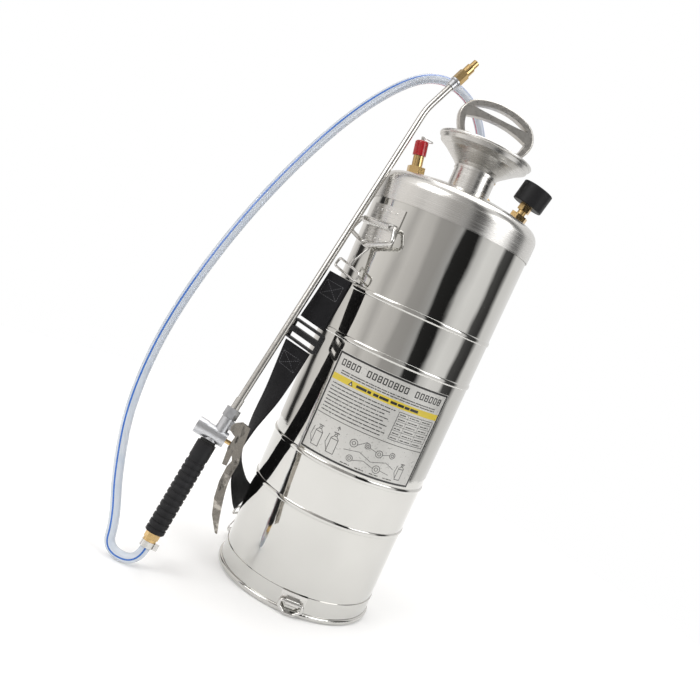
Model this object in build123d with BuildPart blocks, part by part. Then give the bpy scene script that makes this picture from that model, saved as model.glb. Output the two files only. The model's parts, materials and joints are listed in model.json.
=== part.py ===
"""Hand-pumped compression sprayer: steel tank, pump unit, strap, hose and spray wand.

Origin: centre of the tank's foot, on the floor. +Z up, the label faces -Y. Millimetres.
Azimuths are counted from -Y towards +X, in degrees.
"""
import os
from math import asin, cos, degrees, pi, radians, sin, sqrt, tan

from build123d import *

os.makedirs("parts", exist_ok=True)

# ---------------------------------------------------------------- driving dimensions
tank_r = 100.0
sheet = 1.0
shell_low, shell_top = 8.0, 500.0
bead_heights = (121.5, 182.0, 322.0, 379.0)
bead_proud, bead_half = 1.3, 3.2

cap_r, cap_low, cap_sheet = 101.5, 485.0, 1.2
crown_r, knuckle_r, knuckle_z = 337.0, 17.0, 505.6

neck_r, neck_bore, neck_low, neck_top = 26.0, 24.0, 529.0, 563.0
funnel_rim_r, funnel_rim_z = 57.2, 587.2

foot_r, foot_band_top = 100.8, 27.0

wire_r, bore_gap = 2.5, 0.3
upper_azimuth, upper_bar_z, upper_lean = -47.5, 454.0, 8.0
front_azimuth, rear_azimuth, low_bar_z = 5.5, -116.0, 17.0
low_wire_r, low_bar_out = 2.0, 106.0
rear_lift = 50.0

rod_r, fit_gap = 5.0, 0.06
barrel_r, barrel_bore, barrel_low, barrel_top = 18.0, 16.4, 128.0, 558.0
cap_face = 571.0
handle_turn = 11.0
handle_half = 49.0

hose_r = 5.75
wand_foot = Vector(-164.3, -149.3, 8.0)
wand_rest = Vector(-94.3, -49.5, 504.8)
lance_r = 4.0
lance_shift = -1.0
lance_bend_z, lance_bend_deg, lance_end = 606.0, 14.0, 42.0
hose_end_z = 18.0
valve_z = 162.5

strap_wide, strap_thick = 38.0, 2.4


# ---------------------------------------------------------------- frames and helpers
def around(azimuth):
    """Plane through the tank's axis: local x points outwards at the azimuth, local y is up."""
    a = radians(azimuth)
    return Plane(origin=(0, 0, 0), x_dir=(sin(a), -cos(a), 0), z_dir=(-cos(a), -sin(a), 0))


def hanging(azimuth, out, height, lean=0.0):
    """Plane of a ring that hangs from a bar: x along the bar, y up, z outwards, foot swung out by lean."""
    a = radians(azimuth)
    lift = radians(lean)
    outward = Vector(sin(a), -cos(a), 0)
    up = Vector(0, 0, 1)
    facing = outward * cos(lift) + up * sin(lift)
    return Plane(origin=outward * out + up * height, x_dir=up.cross(outward), z_dir=facing)


def on_dome(x, y):
    """Plane on the dome's outer face at x, y: z is the dome's normal there."""
    steep = asin((cap_r - knuckle_r) / (crown_r - knuckle_r))
    centre_z = knuckle_z - (crown_r - knuckle_r) * cos(steep)
    rise = sqrt(crown_r**2 - x**2 - y**2)
    return Plane(origin=(x, y, centre_z + rise), x_dir=(-y, x, 0), z_dir=(x, y, rise))


def along(frame, point, direction, side):
    """Plane at a local point of frame: z along a local direction, x along a local side."""
    spot = frame.from_local_coords(Vector(point))
    ahead = frame.from_local_coords(Vector(point) + Vector(direction)) - spot
    across = frame.from_local_coords(Vector(point) + Vector(side)) - spot
    return Plane(origin=spot, x_dir=across, z_dir=ahead)


relief_frame = on_dome(-65.0, -20.0)
gauge_frame = on_dome(66.5, -20.0)
outlet_frame = on_dome(25.0, 66.0)

wand_up = (wand_rest - wand_foot).normalized()
wand_side = Vector(1, 0.15, 0)
wand_side = (wand_side - wand_up * wand_side.dot(wand_up)).normalized()
wand = Plane(origin=wand_foot + wand_side * lance_shift, x_dir=wand_side, z_dir=wand_up)
grip_tilt = radians(-2.0)
grip_frame = along(wand, (-0.6, 0, hose_end_z), (sin(grip_tilt), 0, cos(grip_tilt)), (cos(grip_tilt), 0, 0))
valve_frame = along(wand, (0, 0, valve_z), (1, 0, 0), (0, 1, 0))
wand_profile = along(wand, (0, 0, 0), (0, -1, 0), (1, 0, 0))
bend = radians(lance_bend_deg)
nozzle_frame = along(wand, (0, 0, lance_bend_z), (sin(bend), 0, cos(bend)), (cos(bend), 0, -sin(bend)))


def dome_section(skin):
    """Closed half section of the dome, skin inside its outer face."""
    steep = degrees(asin((cap_r - knuckle_r) / (crown_r - knuckle_r)))
    centre_z = knuckle_z - (crown_r - knuckle_r) * cos(radians(steep))
    with BuildLine() as outline:
        Line((cap_r - skin, cap_low), (cap_r - skin, knuckle_z))
        CenterArc((cap_r - knuckle_r, knuckle_z), knuckle_r - skin, 0, 90 - steep)
        CenterArc((0, centre_z), crown_r - skin, 90 - steep, steep)
        Line((0, centre_z + crown_r - skin), (0, cap_low))
        Line((0, cap_low), (cap_r - skin, cap_low))
    return outline


# ---------------------------------------------------------------- tank
with BuildPart() as tank_shell:
    with BuildSketch(Plane.XZ):
        with Locations((tank_r - sheet / 2, (shell_low + shell_top) / 2)):
            Rectangle(sheet, shell_top - shell_low)
        with Locations(*[(tank_r, height) for height in bead_heights]):
            Ellipse(bead_proud, bead_half)
    revolve(axis=Axis.Z)
tank_shell.part.label = "tank_shell"
export_step(tank_shell.part, "parts/tank_shell.step")

bottom_r, bottom_low, bottom_top = tank_r - sheet, 12.0, 40.0
with BuildPart() as tank_bottom:
    for skin, mode in ((0, Mode.ADD), (sheet, Mode.SUBTRACT)):
        with BuildSketch(Plane.XZ):
            with BuildLine():
                ThreePointArc((0, bottom_low + skin), (52, 16.4 + skin), (bottom_r - skin, 28 + skin))
                Line((bottom_r - skin, 28 + skin), (bottom_r - skin, bottom_top + skin))
                Line((bottom_r - skin, bottom_top + skin), (0, bottom_top + skin))
                Line((0, bottom_top + skin), (0, bottom_low + skin))
            make_face()
        revolve(axis=Axis.Z, mode=mode)
tank_bottom.part.label = "tank_bottom"
export_step(tank_bottom.part, "parts/tank_bottom.step")

with BuildPart() as base_ring:
    with BuildSketch(Plane.XZ):
        with Locations((tank_r + 0.4, (foot_band_top + 3) / 2)):
            Rectangle(foot_r - tank_r, foot_band_top - 3)
        with Locations((tank_r + 0.2, 3.5)):
            RectangleRounded(6.4, 7, 2.6)
    revolve(axis=Axis.Z)
base_ring.part.label = "base_ring"
export_step(base_ring.part, "parts/base_ring.step")

with BuildPart() as top_dome:
    with BuildSketch(Plane.XZ):
        add(dome_section(0))
        make_face()
    revolve(axis=Axis.Z)
    with BuildSketch(Plane.XZ):
        add(dome_section(cap_sheet))
        make_face()
    revolve(axis=Axis.Z, mode=Mode.SUBTRACT)
    with BuildSketch(Plane.XY.offset(neck_low - 20)):
        Circle(neck_r)
    extrude(amount=40, mode=Mode.SUBTRACT)
    for fitting, hole_r in ((relief_frame, 6.0), (gauge_frame, 6.0), (outlet_frame, 7.0)):
        with BuildSketch(fitting.offset(-6)):
            Circle(hole_r)
        extrude(amount=12, mode=Mode.SUBTRACT)
top_dome.part.label = "top_dome"
export_step(top_dome.part, "parts/top_dome.step")

with BuildPart() as neck_collar:
    with BuildSketch(Plane.XY.offset(neck_low)):
        Circle(neck_r)
        Circle(neck_bore, mode=Mode.SUBTRACT)
    extrude(amount=neck_top - neck_low)
neck_collar.part.label = "neck_collar"
export_step(neck_collar.part, "parts/neck_collar.step")

with BuildPart() as filler_funnel:
    with BuildSketch(Plane.XZ):
        with BuildLine():
            Polyline((26, 557), (26, 561), (30.5, 565.4), (46.5, 577), (54.6, 581.4), (56.2, 587))
            Polyline((56.2, 587), (57.2, 586.6), (55.6, 580.8), (47, 576), (31, 564.2), (27.2, 560.4))
            Polyline((27.2, 560.4), (27.2, 557), (26, 557))
        make_face()
        with Locations((funnel_rim_r, funnel_rim_z)):
            Circle(2.0)
    revolve(axis=Axis.Z)
filler_funnel.part.label = "filler_funnel"
export_step(filler_funnel.part, "parts/filler_funnel.step")

with BuildPart() as label_plate:
    with BuildSketch(around(-34.5)):
        with Locations((tank_r + 0.17, (187.5 + 308) / 2)):
            Rectangle(0.34, 308 - 187.5)
    revolve(axis=Axis.Z, revolution_arc=85)
label_plate.part.label = "label_plate"
export_step(label_plate.part, "parts/label_plate.step")


# ---------------------------------------------------------------- strap rings and brackets
def bracket(azimuth, seat_r, plate, bar_out, bar_z, bar_r, width):
    """Spot-welded plate with a rolled channel for a ring's bar; plate is (low, high, span)."""
    low, high, span = plate
    skin = 1.5
    tube_r = bar_r + bore_gap + 1.6
    bar = hanging(azimuth, bar_out, bar_z)
    section = along(bar, (0, 0, 0), (-1, 0, 0), (0, 0, 1))
    with BuildPart() as made:
        with BuildSketch(around(azimuth - span / 2)):
            with Locations((seat_r + skin / 2, (low + high) / 2)):
                Rectangle(skin, high - low)
        revolve(axis=Axis.Z, revolution_arc=span)
        with BuildSketch(section):
            Circle(tube_r)
            with Locations(((seat_r - bar_out - 4) / 2, 0)):
                Rectangle(bar_out - seat_r + 4, 2 * tube_r)
        extrude(amount=width / 2, both=True)
        with BuildSketch(section):
            Circle(bar_r + bore_gap)
        extrude(amount=width, both=True, mode=Mode.SUBTRACT)
        with BuildSketch(Plane.XY.offset(low - 20)):
            Circle(seat_r)
        extrude(amount=high - low + 40, mode=Mode.SUBTRACT)
    return made


def bent_wire(frame, points, corner_r, thick_r, close=True):
    """Wire bent through local x, y points of frame, with its corners rounded."""
    with BuildPart() as made:
        with BuildLine(frame) as path:
            FilletPolyline(*points, radius=corner_r, close=close)
        with BuildSketch(path.line ^ 0.01 if close else path.line ^ 0):
            Circle(thick_r)
        sweep(path=path.line)
    return made


upper_bar_out = tank_r + 1.5 + wire_r + bore_gap + 0.7
upper_bracket = bracket(upper_azimuth, tank_r, (432, 477, 32.5), upper_bar_out, upper_bar_z, wire_r, 50)
upper_bracket.part.label = "upper_bracket"
export_step(upper_bracket.part, "parts/upper_bracket.step")

front_bracket = bracket(front_azimuth, foot_r, (14, 27, 18), low_bar_out, low_bar_z, low_wire_r, 17)
rear_bracket = bracket(rear_azimuth, foot_r, (14, 27, 18), low_bar_out, low_bar_z, low_wire_r, 17)
with BuildPart() as lower_brackets:
    add(front_bracket.part)
    add(rear_bracket.part)
lower_brackets.part.label = "lower_brackets"
export_step(lower_brackets.part, "parts/lower_brackets.step")

upper_points = ((-32, 0), (32, 0), (41, -17), (0, -28), (-41, -17))
upper_frame = hanging(upper_azimuth, upper_bar_out, upper_bar_z, upper_lean)
upper_ring = bent_wire(upper_frame, upper_points, 5, wire_r)
upper_ring.part.label = "upper_ring"
export_step(upper_ring.part, "parts/upper_ring.step")

ring_points = ((-14, 0), (14, 0), (14, -7), (6, -14), (-6, -14), (-14, -7))
front_frame = hanging(front_azimuth, low_bar_out, low_bar_z)
front_ring = bent_wire(front_frame, ring_points, 3.2, low_wire_r)
front_ring.part.label = "front_ring"
export_step(front_ring.part, "parts/front_ring.step")

rear_frame = hanging(rear_azimuth, low_bar_out, low_bar_z, rear_lift)
rear_ring = bent_wire(rear_frame, ring_points, 3.2, low_wire_r)
rear_ring.part.label = "rear_ring"
export_step(rear_ring.part, "parts/rear_ring.step")


# ---------------------------------------------------------------- snap hooks
def hook_body(frame, turn):
    """Open wire hook over the ring at the frame's origin, with its swivel barrel; it hangs along -y."""
    loop = along(frame, (0, 0, 0), (sin(turn), 0, cos(turn)), (cos(turn), 0, -sin(turn)))
    with BuildPart() as made:
        with BuildLine(loop) as path:
            FilletPolyline((-5.2, -3.2), (-5.2, 4.2), (5.2, 4.2), (5.2, -2), (0.6, -21), radius=(4, 4, 8))
        with BuildSketch(path.line ^ 0):
            Circle(1.2)
        sweep(path=path.line)
        with BuildSketch(along(frame, (0, -20.3, 0), (0, -1, 0), (1, 0, 0))):
            Circle(2.8)
        extrude(amount=6.7)
    return made


def hook_gate(frame, turn):
    """Sprung wire gate that closes the hook, with the eye that it pivots on."""
    loop = along(frame, (0, 0, 0), (sin(turn), 0, cos(turn)), (cos(turn), 0, -sin(turn)))
    with BuildPart() as made:
        with BuildSketch(along(loop, (-2.2, -17.6, 0), (-0.21, 0.98, 0), (0, 0, 1))):
            Circle(0.9)
        extrude(amount=13.2)
        with BuildSketch(loop):
            with Locations((-2.2, -17.8)):
                Circle(1.5)
        extrude(amount=1.2, both=True)
    return made


def hook_eye(frame):
    """Flat rectangular eye for the webbing, on the swivel's stem."""
    with BuildPart() as made:
        with BuildLine(frame) as path:
            FilletPolyline((-20.5, -29), (20.5, -29), (20.5, -39.5), (-20.5, -39.5), radius=3, close=True)
        with BuildSketch(path.line ^ 0.01):
            Circle(1.5)
        sweep(path=path.line)
        with BuildSketch(along(frame, (0, -27, 0), (0, -1, 0), (1, 0, 0))):
            Circle(1.5)
        extrude(amount=2)
    return made


loop_turn = radians(50)
hook_lean, hook_swivel = radians(10), radians(8)
upper_hook_frame = along(
    upper_frame,
    (0, -28, 0),
    (sin(hook_swivel), 0, cos(hook_swivel)),
    (cos(hook_lean) * cos(hook_swivel), -sin(hook_lean), -sin(hook_swivel)),
)
rear_hook_frame = Plane(
    origin=rear_frame.from_local_coords(Vector(0, -14, 0)),
    x_dir=-rear_frame.x_dir,
    z_dir=Vector(rear_frame.x_dir.Y, -rear_frame.x_dir.X, 0) + Vector(0, 0, 0.15),
)

upper_hook = hook_body(upper_hook_frame, loop_turn)
upper_hook.part.label = "upper_hook"
export_step(upper_hook.part, "parts/upper_hook.step")
upper_gate = hook_gate(upper_hook_frame, loop_turn)
upper_gate.part.label = "upper_gate"
export_step(upper_gate.part, "parts/upper_gate.step")
upper_eye = hook_eye(upper_hook_frame)
upper_eye.part.label = "upper_eye"
export_step(upper_eye.part, "parts/upper_eye.step")

rear_hook = hook_body(rear_hook_frame, loop_turn)
rear_hook.part.label = "rear_hook"
export_step(rear_hook.part, "parts/rear_hook.step")
rear_gate = hook_gate(rear_hook_frame, loop_turn)
rear_gate.part.label = "rear_gate"
export_step(rear_gate.part, "parts/rear_gate.step")
rear_eye = hook_eye(rear_hook_frame)
rear_eye.part.label = "rear_eye"
export_step(rear_eye.part, "parts/rear_eye.step")


# ---------------------------------------------------------------- webbing strap
def webbing(stations, thick):
    """Flat band lofted through stations, each a centre, a width direction and a run direction."""
    with BuildPart() as made:
        for centre, width, run in stations:
            with BuildSketch(Plane(origin=centre, x_dir=width, z_dir=run)):
                Rectangle(strap_wide, thick)
        loft(ruled=True)
    return made


upper_stations = (
    ((-91.0, -74.2, 382.5), (0.76, -0.62, -0.13), (-0.13, -0.02, -0.98)),
    ((-95.0, -76.5, 352.0), (0.82, -0.56, -0.12), (-0.14, -0.04, -0.98)),
    ((-99.6, -77.8, 321.0), (0.88, -0.46, -0.12), (-0.14, -0.02, -0.98)),
)
strap_upper = webbing(upper_stations, 2 * strap_thick)
strap_upper.part.label = "strap_upper"
export_step(strap_upper.part, "parts/strap_upper.step")

lower_stations = (
    ((-104.6, -78.0, 290.0), (0.90, -0.42, -0.12), (-0.12, 0.02, -0.99)),
    ((-110.0, -74.0, 232.0), (0.66, -0.75, -0.04), (-0.14, 0.12, -0.98)),
    ((-119.0, -64.0, 184.0), (0.36, -0.93, -0.10), (-0.15, 0.28, -0.95)),
    ((-123.0, -48.0, 148.0), (0.14, -0.96, -0.27), (-0.03, 0.43, -0.90)),
    ((-121.0, -29.0, 114.0), (0.08, -0.87, -0.48), (0.20, 0.47, -0.86)),
    ((-111.0, 6.0, 78.0), (-0.05, -0.74, -0.67), (0.30, 0.68, -0.67)),
    ((-103.5, 40.0, 58.0), (-0.40, -0.83, -0.38), (0.16, 0.48, -0.86)),
)
strap_lower = webbing(lower_stations, strap_thick)
strap_lower.part.label = "strap_lower"
export_step(strap_lower.part, "parts/strap_lower.step")

slider_frame = Plane(origin=(-102.0, -78.2, 304.5), x_dir=(0.89, -0.44, -0.12), z_dir=(-0.44, -0.89, -0.03))
slider_tall, slider_wide, slider_thick = 25.0, 48.0, 7.0
with BuildPart() as strap_slider:
    with BuildSketch(slider_frame.offset(-slider_thick / 2)):
        RectangleRounded(slider_wide, slider_tall, 4)
        with Locations((0, 6.6), (0, -6.6)):
            Rectangle(40, 6.4, mode=Mode.SUBTRACT)
    extrude(amount=slider_thick)
    fillet(strap_slider.edges().group_by(Axis(slider_frame.origin, slider_frame.z_dir))[-1], 1.2)
strap_slider.part.label = "strap_slider"
export_step(strap_slider.part, "parts/strap_slider.step")


# ---------------------------------------------------------------- fittings on the dome
def stack(frame, discs, bores=()):
    """Turned piece: discs and bores are (start, length, radius) along frame's z; radius "hexNN" is a hexagon."""
    with BuildPart() as made:
        for start, length, size in discs:
            with BuildSketch(frame.offset(start)):
                if isinstance(size, str):
                    RegularPolygon(float(size[3:]) / 2, 6, major_radius=False)
                else:
                    Circle(size)
            extrude(amount=length)
        for start, length, size in bores:
            with BuildSketch(frame.offset(start)):
                Circle(size)
            extrude(amount=length, mode=Mode.SUBTRACT)
    return made


stem_r = 2.0
relief_body = stack(
    relief_frame,
    ((-8, 8.5, 6.0), (0.5, 8, "hex19"), (8.5, 12.5, 6.4)),
    ((-8, 5, 2.0), (-3, 20, 4.5), (17, 4, stem_r + fit_gap)),
)
relief_body.part.label = "relief_body"
export_step(relief_body.part, "parts/relief_body.step")

with BuildPart() as relief_stem:
    with BuildSketch(relief_frame.offset(-2.95)):
        Circle(4.2)
    extrude(amount=2)
    with BuildSketch(relief_frame.offset(-0.95)):
        Circle(stem_r)
    extrude(amount=44)
    ring_hole = along(relief_frame, (0, 0, 41.2), (1, 0, 0), (0, 0, 1))
    with BuildSketch(ring_hole):
        Circle(1.0)
    extrude(amount=4, both=True, mode=Mode.SUBTRACT)
relief_stem.part.label = "relief_stem"
export_step(relief_stem.part, "parts/relief_stem.step")


def coil(frame, start, length, radius, wire, turns):
    """Compression spring along frame's z."""
    with BuildPart() as made:
        tall = length - 2 * wire
        foot = frame.origin + frame.z_dir * (start + wire)
        with BuildLine() as path:
            Helix(pitch=tall / turns, height=tall, radius=radius, center=foot, direction=frame.z_dir)
        with BuildSketch(path.line ^ 0):
            Circle(wire)
        sweep(path=path.line, is_frenet=True)
    return made


relief_spring = coil(relief_frame, -0.9, 17.8, 3.2, 0.45, 6)
relief_spring.part.label = "relief_spring"
export_step(relief_spring.part, "parts/relief_spring.step")

with BuildPart() as relief_knob:
    with BuildSketch(relief_frame.offset(21.4)):
        Circle(8)
    extrude(amount=17.2)
    fillet(relief_knob.edges().group_by(Axis(relief_frame.origin, relief_frame.z_dir))[-1], 3)
    with BuildSketch(relief_frame.offset(21.4)):
        Circle(stem_r)
    extrude(amount=20, mode=Mode.SUBTRACT)
relief_knob.part.label = "relief_knob"
export_step(relief_knob.part, "parts/relief_knob.step")

pull_r = 6.5
pull_droop = radians(12)
pull_frame = along(
    relief_frame,
    (0, 0, 41.2),
    (0, sin(pull_droop), cos(pull_droop)),
    (0, cos(pull_droop), -sin(pull_droop)),
)
with BuildPart(pull_frame) as pull_ring:
    with Locations((pull_r, 0, 0)):
        Torus(pull_r, 0.6)
pull_ring.part.label = "pull_ring"
export_step(pull_ring.part, "parts/pull_ring.step")

gauge_bush = stack(
    gauge_frame,
    ((-8, 8.5, 6.0), (0.5, 6.5, "hex19"), (7, 5, 5.2), (12, 7.5, "hex14")),
    ((-8, 27.5, 2.0),),
)
gauge_bush.part.label = "gauge_bush"
export_step(gauge_bush.part, "parts/gauge_bush.step")

gauge_r = 19.2
with BuildPart() as gauge_case:
    with BuildSketch(gauge_frame.offset(19.5)):
        Circle(gauge_r)
    extrude(amount=24)
    fillet(gauge_case.edges().filter_by(GeomType.CIRCLE), 1.2)
    with BuildSketch(gauge_frame.offset(21.5)):
        Circle(gauge_r - 1.7)
    extrude(amount=30, mode=Mode.SUBTRACT)
gauge_case.part.label = "gauge_case"
export_step(gauge_case.part, "parts/gauge_case.step")
gauge_dial = stack(gauge_frame, ((37.8, 0.8, gauge_r - 1.75),), ((37.8, 0.8, 1.5),))
gauge_dial.part.label = "gauge_dial"
export_step(gauge_dial.part, "parts/gauge_dial.step")
gauge_lens = stack(gauge_frame, ((41.4, 1.4, gauge_r - 1.7),))
gauge_lens.part.label = "gauge_lens"
export_step(gauge_lens.part, "parts/gauge_lens.step")
gauge_movement = stack(gauge_frame, ((21.5, 14, 9.0), (35.5, 5.2, 0.8)))
gauge_movement.part.label = "gauge_movement"
export_step(gauge_movement.part, "parts/gauge_movement.step")

needle_start = radians(225)
with BuildPart() as gauge_needle:
    with BuildSketch(gauge_frame.offset(39.2)):
        with BuildLine():
            tip = Vector(cos(needle_start), sin(needle_start)) * 14
            side = Vector(-sin(needle_start), cos(needle_start)) * 0.9
            Polyline(tip, side, tip * -0.3 + side, tip * -0.3 - side, side * -1, close=True)
        make_face()
        Circle(2.0)
        Circle(0.8 + fit_gap, mode=Mode.SUBTRACT)
    extrude(amount=0.6)
gauge_needle.part.label = "gauge_needle"
export_step(gauge_needle.part, "parts/gauge_needle.step")

outlet_bush = stack(
    outlet_frame,
    ((-14, 14.5, 7.0), (0.5, 6.5, "hex22"), (7, 4.5, 6.0)),
    ((-14, 25.5, 4.0),),
)
outlet_bush.part.label = "outlet_bush"
export_step(outlet_bush.part, "parts/outlet_bush.step")

elbow_centre = outlet_frame.from_local_coords(Vector(0, 0, 17.5))
tail_dir = Vector(-0.475, -0.02, 0.88).normalized()
tail_frame = Plane(origin=elbow_centre, x_dir=(0, 1, 0.02), z_dir=tail_dir)
with BuildPart() as outlet_elbow:
    with BuildSketch(outlet_frame.offset(11.5)):
        RegularPolygon(6.5, 6, major_radius=False)
    extrude(amount=6)
    with Locations(elbow_centre):
        Sphere(7)
    for start, length, radius in ((0, 22, 3.6), (6, 2, 5.5), (11, 2, 4.2), (15, 2, 4.2), (19, 2, 4.2)):
        with BuildSketch(tail_frame.offset(start)):
            Circle(radius)
        extrude(amount=length)
outlet_elbow.part.label = "outlet_elbow"
export_step(outlet_elbow.part, "parts/outlet_elbow.step")


def clamp_ring(frame, start, length, outer_r):
    """Hose clip with its screw housing."""
    with BuildPart() as made:
        with BuildSketch(frame.offset(start)):
            Circle(outer_r)
            Circle(hose_r + 0.15, mode=Mode.SUBTRACT)
        extrude(amount=length)
        with BuildSketch(frame.offset(start + 0.5)):
            with Locations((outer_r + 2, 0)):
                Rectangle(5, 8)
        extrude(amount=length - 1)
    return made


outlet_clamp = clamp_ring(tail_frame, 11, 7, hose_r + 1.6)
outlet_clamp.part.label = "outlet_clamp"
export_step(outlet_clamp.part, "parts/outlet_clamp.step")

dip_top = outlet_frame.from_local_coords(Vector(0, 0, -14))
dip_elbow = outlet_frame.from_local_coords(Vector(0, 0, -50))
with BuildPart() as dip_tube:
    with BuildLine() as path:
        FilletPolyline(dip_top, dip_elbow, (dip_elbow.X, dip_elbow.Y, 34), radius=90)
    with BuildSketch(path.line ^ 0):
        Circle(4)
        Circle(2.75, mode=Mode.SUBTRACT)
    sweep(path=path.line)
    with BuildSketch(Plane(origin=(dip_elbow.X, dip_elbow.Y, 24))):
        Circle(7)
    extrude(amount=11)
    with BuildSketch(Plane(origin=(dip_elbow.X, dip_elbow.Y, 23))):
        Circle(2.75)
    extrude(amount=14, mode=Mode.SUBTRACT)
dip_tube.part.label = "dip_tube"
export_step(dip_tube.part, "parts/dip_tube.step")

# ---------------------------------------------------------------- pump unit
cap_gasket = stack(Plane.XY, ((neck_top, 2.6, 28.0),), ((neck_top, 2.6, 24.2),))
cap_gasket.part.label = "cap_gasket"
export_step(cap_gasket.part, "parts/cap_gasket.step")

cap_seat = neck_top + 2.6
pump_cap = stack(
    Plane.XY,
    ((545, cap_seat - 545, 23.7), (cap_seat, cap_face - cap_seat, 28.5)),
    ((545, barrel_top - 545, barrel_r), (545, 40, rod_r + fit_gap)),
)
pump_cap.part.label = "pump_cap"
export_step(pump_cap.part, "parts/pump_cap.step")

with BuildPart() as pump_barrel:
    with BuildSketch(Plane.XY.offset(barrel_low)):
        Circle(barrel_r)
        Circle(barrel_bore, mode=Mode.SUBTRACT)
    extrude(amount=barrel_top - barrel_low)
    with BuildSketch(Plane.XY.offset(barrel_low - 8)):
        Circle(barrel_r)
        Circle(1.9 + fit_gap, mode=Mode.SUBTRACT)
        with PolarLocations(8, 6):
            Circle(1.6, mode=Mode.SUBTRACT)
    extrude(amount=8)
pump_barrel.part.label = "pump_barrel"
export_step(pump_barrel.part, "parts/pump_barrel.step")

check_valve = stack(Plane.XY, ((117.7, 2, 12.0), (119.7, 12, 1.9), (130.2, 1.5, 3.4)))
check_valve.part.label = "check_valve"
export_step(check_valve.part, "parts/check_valve.step")

piston_cup = stack(Plane.XY, ((136, 12, barrel_bore - 0.08),), ((136, 12, rod_r), (140, 8, 13.0)))
piston_cup.part.label = "piston_cup"
export_step(piston_cup.part, "parts/piston_cup.step")
pump_rod = stack(Plane.XY, ((133, 451, rod_r), (133, 3, 13.5), (140, 2, 12.8)))
pump_rod.part.label = "pump_rod"
export_step(pump_rod.part, "parts/pump_rod.step")

turn = radians(handle_turn)
handle_plane = Plane(origin=(0, 0, 0), x_dir=(cos(turn), sin(turn), 0), z_dir=(sin(turn), -cos(turn), 0))
handle_deep = 12.0
with BuildPart() as pump_handle:
    with BuildSketch(handle_plane):
        with BuildLine():
            Spline(
                (-15, 578), (-33, 586), (-44, 600), (-handle_half, 616), (-43, 630), (-24, 640),
                (0, 643),
                (24, 640), (43, 630), (handle_half, 616), (44, 600), (33, 586), (15, 578),
            )
            Line((15, 578), (-15, 578))
        make_face()
    extrude(amount=handle_deep / 2, both=True)
    fillet(pump_handle.edges().group_by(Axis((0, 0, 0), handle_plane.z_dir))[0], 2.5)
    fillet(pump_handle.edges().group_by(Axis((0, 0, 0), handle_plane.z_dir))[-1], 2.5)
    with BuildSketch(handle_plane):
        with BuildLine():
            ThreePointArc((-37, 627), (0, 635.6), (37, 627))
            ThreePointArc((37, 627), (0, 626.4), (-37, 627))
        make_face()
        with BuildLine():
            Spline((-40, 614), (-36, 601), (-26, 590), (-12, 586), (12, 586), (26, 590), (36, 601), (40, 614))
            ThreePointArc((40, 614), (0, 620.6), (-40, 614))
        make_face()
    extrude(amount=handle_deep, both=True, mode=Mode.SUBTRACT)
    with BuildSketch(Plane.XY.offset(cap_face + 1)):
        Circle(14)
    extrude(amount=16)
    with BuildSketch(Plane.XY.offset(cap_face + 1)):
        Circle(rod_r)
    extrude(amount=12, mode=Mode.SUBTRACT)
pump_handle.part.label = "pump_handle"
export_step(pump_handle.part, "parts/pump_handle.step")

# ---------------------------------------------------------------- spray wand
grip_low, grip_high = 18.0, 132.0
hose_barb = stack(
    grip_frame,
    ((0.9, 17, 3.5), (7.5, 3, 7.6), (10.5, 7.5, "hex14.6")),
)
hose_barb.part.label = "hose_barb"
export_step(hose_barb.part, "parts/hose_barb.step")
wand_clamp = clamp_ring(grip_frame, 0.3, 7.2, hose_r + 2.4)
wand_clamp.part.label = "wand_clamp"
export_step(wand_clamp.part, "parts/wand_clamp.step")

with BuildPart() as grip:
    with BuildSketch(grip_frame.offset(grip_low)):
        Circle(10.2)
    extrude(amount=grip_high - grip_low)
    for rib in range(12):
        with BuildSketch(grip_frame.offset(grip_low + 1 + 7.6 * rib)):
            Circle(11.2)
        extrude(amount=4.6)
    with BuildSketch(grip_frame.offset(grip_high - 20)):
        Circle(11.0)
    extrude(amount=20)
    with BuildSketch(grip_frame.offset(grip_low)):
        Circle(3.5)
    extrude(amount=grip_high - grip_low, mode=Mode.SUBTRACT)
grip.part.label = "grip"
export_step(grip.part, "parts/grip.step")

grip_washer = stack(grip_frame, ((grip_high, 3, 9.0),), ((grip_high, 3, 3.5),))
grip_washer.part.label = "grip_washer"
export_step(grip_washer.part, "parts/grip_washer.step")

valve_r = 9.0
pivot = (11.7, 180.0)
thrust_pin = (20.6, 159.5)
with BuildPart() as valve_body:
    with BuildSketch(valve_frame.offset(-15)):
        Circle(valve_r)
    extrude(amount=25.5)
    with BuildSketch(wand.offset(valve_z - 8.5)):
        with Locations((-4, 0)):
            Circle(7.5)
    extrude(amount=8)
    with BuildSketch(wand.offset(valve_z)):
        Circle(7.3)
    extrude(amount=23.5)
    with BuildSketch(wand_profile):
        with BuildLine():
            Polyline((0, 175), (0, 185.5), (11.7, 185), (16, 180), (11.7, 175), close=True)
        make_face()
    extrude(amount=4.4, both=True)
    with BuildSketch(wand_profile):
        with Locations(pivot):
            Circle(2.0 + fit_gap)
    extrude(amount=10, both=True, mode=Mode.SUBTRACT)
    with BuildSketch(valve_frame.offset(-15)):
        Circle(6)
    extrude(amount=19, mode=Mode.SUBTRACT)
    with BuildSketch(valve_frame.offset(-15)):
        Circle(2.5 + fit_gap)
    extrude(amount=30, mode=Mode.SUBTRACT)
    with BuildSketch(wand.offset(valve_z + 5)):
        Circle(2.5)
    extrude(amount=30, mode=Mode.SUBTRACT)
valve_body.part.label = "valve_body"
export_step(valve_body.part, "parts/valve_body.step")

valve_cap = stack(valve_frame, ((-26, 11, 9.7), (-15, 3, 6.0)), ((-20, 8, 4.5),))
valve_cap.part.label = "valve_cap"
export_step(valve_cap.part, "parts/valve_cap.step")

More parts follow.
